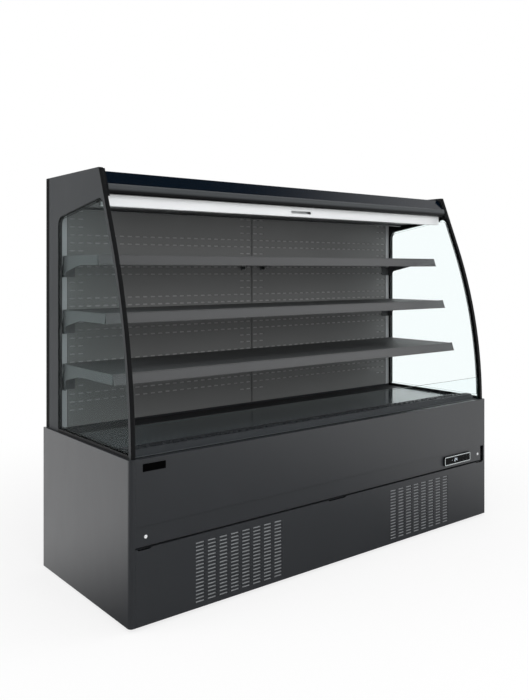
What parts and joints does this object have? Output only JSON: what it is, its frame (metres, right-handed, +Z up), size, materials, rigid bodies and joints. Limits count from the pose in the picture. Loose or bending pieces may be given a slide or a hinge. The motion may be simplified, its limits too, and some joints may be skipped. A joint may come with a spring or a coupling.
{
  "type": "open multideck display fridge",
  "caption": "Open multideck display fridge: glazed curved sides, hooked tilting shelves, perforated back wall, canopy with a night blind, foamed tub and a louvred machine base.",
  "frame": {"origin": "centre of the overall footprint, on the floor under the levelling feet", "axes": "+X towards the right-hand side of the cabinet as a shopper sees it, +Y from the open front to the rear, +Z up"},
  "size_m": [1.875, 0.6854, 1.5],
  "materials": {
    "galvanised": "galvanised sheet, dull spangle",
    "grey_coat": "mid-grey powder coat, satin",
    "foam_skin": "grey coated skin over foam",
    "dark_coat": "dark grey powder coat, satin",
    "interior_coat": "grey powder coat, fine texture",
    "deck_coat": "dark grey coat, semi-gloss",
    "black_plastic": "black moulded plastic",
    "clear_glass": "clear glass",
    "silver_plastic": "silver-grey moulding",
    "black_gloss": "black glossy face",
    "steel_bits": "zinc plated steel",
    "white_coat": "white coat",
    "lamp_lens": "opal diffuser",
    "cloth": "light grey blind cloth",
    "fins": "thin bright fins",
    "black_enamel": "black enamel",
    "pipes": "bare copper"
  },
  "bodies": {
    "cabinet": {"base_frame": "galvanised", "condenser_shroud": "galvanised", "evaporator_fan_plate": "galvanised", "deck_rails": "galvanised", "base_rear_panel": "galvanised", "base_sides": "grey_coat", "upper_front_panel": "grey_coat", "control_strip": "grey_coat", "tank_body": "foam_skin", "rear_panel": "foam_skin", "roof_panel": "foam_skin", "side_frame_left": "dark_coat", "side_frame_right": "dark_coat", "header_panel": "dark_coat", "corner_profiles": "dark_coat", "back_walls": "interior_coat", "canopy_lining": "interior_coat", "deck_rear_cover": "deck_coat", "side_trims": "black_plastic", "header_lip": "black_plastic", "header_end_caps": "black_plastic", "riser_channel": "black_plastic", "air_outlet": "black_plastic", "blind_brackets": "black_plastic", "evaporation_tray": "black_plastic", "electrical_box": "black_plastic", "power_inlet": "black_plastic", "levelling_feet": "black_plastic", "side_glass": "clear_glass", "riser_glass": "clear_glass", "controller_bezel": "silver_plastic", "controller_lens": "black_gloss", "strip_screws": "steel_bits", "badge_plate": "steel_bits", "fan_motors": "steel_bits", "led_lamp": "lamp_lens", "blind_fabric": "cloth", "condenser_coil": "fins", "evaporator_coil": "fins", "compressor": "black_enamel", "pipework": "pipes"},
    "louvred_panel": {"louvred_panel": "grey_coat"},
    "deck_plate_left": {"deck_plate_left": "deck_coat"},
    "deck_plate_right": {"deck_plate_right": "deck_coat"},
    "intake_grille": {"intake_grille": "black_plastic"},
    "blind_bar": {"blind_bar": "white_coat"},
    "blind_roller": {"blind_roller": "cloth"},
    "shelf_1": {"shelf_1": "interior_coat", "shelf_1_rail": "interior_coat"},
    "shelf_2": {"shelf_2": "interior_coat", "shelf_2_rail": "interior_coat"},
    "shelf_3": {"shelf_3": "interior_coat", "shelf_3_rail": "interior_coat"},
    "condenser_fan": {"condenser_fan": "black_plastic"},
    "evaporator_fan_left": {"evaporator_fan_left": "black_plastic"},
    "evaporator_fan_right": {"evaporator_fan_right": "black_plastic"},
    "key_up": {"key_up": "black_gloss"},
    "key_down": {"key_down": "black_gloss"},
    "key_set": {"key_set": "black_gloss"},
    "key_light": {"key_light": "black_gloss"}
  },
  "joints": [
    {"name": "blind_pull", "type": "slide", "parent": "cabinet", "child": "blind_bar", "axis": [0, -0.2679, -0.9634], "range_m": [0, 0.73], "stiffness_N_per_m": 10, "springref_m": -2, "deforming": ["blind_fabric"]},
    {"name": "blind_roller_turn", "type": "hinge", "parent": "cabinet", "child": "blind_roller", "pos_m": [0, -0.0613, 1.43], "axis": [1, 0, 0], "range_deg": [0, 2700]},
    {"name": "shelf_1_tilt", "type": "hinge", "parent": "cabinet", "child": "shelf_1", "pos_m": [0, 0.24445, 1.1606], "axis": [-1, 0, 0], "range_deg": [0, 10]},
    {"name": "shelf_2_tilt", "type": "hinge", "parent": "cabinet", "child": "shelf_2", "pos_m": [0, 0.24445, 0.94815], "axis": [-1, 0, 0], "range_deg": [0, 10]},
    {"name": "shelf_3_tilt", "type": "hinge", "parent": "cabinet", "child": "shelf_3", "pos_m": [0, 0.24445, 0.7357], "axis": [-1, 0, 0], "range_deg": [0, 10]},
    {"name": "deck_left_lift", "type": "slide", "parent": "cabinet", "child": "deck_plate_left", "axis": [0, 0, 1], "range_m": [0, 0.15]},
    {"name": "deck_right_lift", "type": "slide", "parent": "cabinet", "child": "deck_plate_right", "axis": [0, 0, 1], "range_m": [0, 0.15]},
    {"name": "intake_grille_lift", "type": "slide", "parent": "cabinet", "child": "intake_grille", "axis": [0, 0, 1], "range_m": [0, 0.1]},
    {"name": "louvred_panel_pull", "type": "slide", "parent": "cabinet", "child": "louvred_panel", "axis": [0, -1, 0], "range_m": [0, 0.25]},
    {"name": "condenser_fan_turn", "type": "hinge", "parent": "cabinet", "child": "condenser_fan", "pos_m": [-0.5, -0.1873, 0.15], "axis": [0, 1, 0], "continuous": true},
    {"name": "evaporator_fan_left_turn", "type": "hinge", "parent": "cabinet", "child": "evaporator_fan_left", "pos_m": [-0.4, -0.0673, 0.435], "axis": [0, 1, 0], "continuous": true},
    {"name": "evaporator_fan_right_turn", "type": "hinge", "parent": "cabinet", "child": "evaporator_fan_right", "pos_m": [0.4, -0.0673, 0.435], "axis": [0, 1, 0], "continuous": true},
    {"name": "key_up_press", "type": "slide", "parent": "cabinet", "child": "key_up", "axis": [0, 1, 0], "range_m": [0, 0.0005], "stiffness_N_per_m": 500},
    {"name": "key_down_press", "type": "slide", "parent": "cabinet", "child": "key_down", "axis": [0, 1, 0], "range_m": [0, 0.0005], "stiffness_N_per_m": 500},
    {"name": "key_set_press", "type": "slide", "parent": "cabinet", "child": "key_set", "axis": [0, 1, 0], "range_m": [0, 0.0005], "stiffness_N_per_m": 500},
    {"name": "key_light_press", "type": "slide", "parent": "cabinet", "child": "key_light", "axis": [0, 1, 0], "range_m": [0, 0.0005], "stiffness_N_per_m": 500}
  ],
  "couplings": [
    {"joint": "blind_roller_turn", "follows": "blind_pull", "rad_per_m": 62.5}
  ]
}
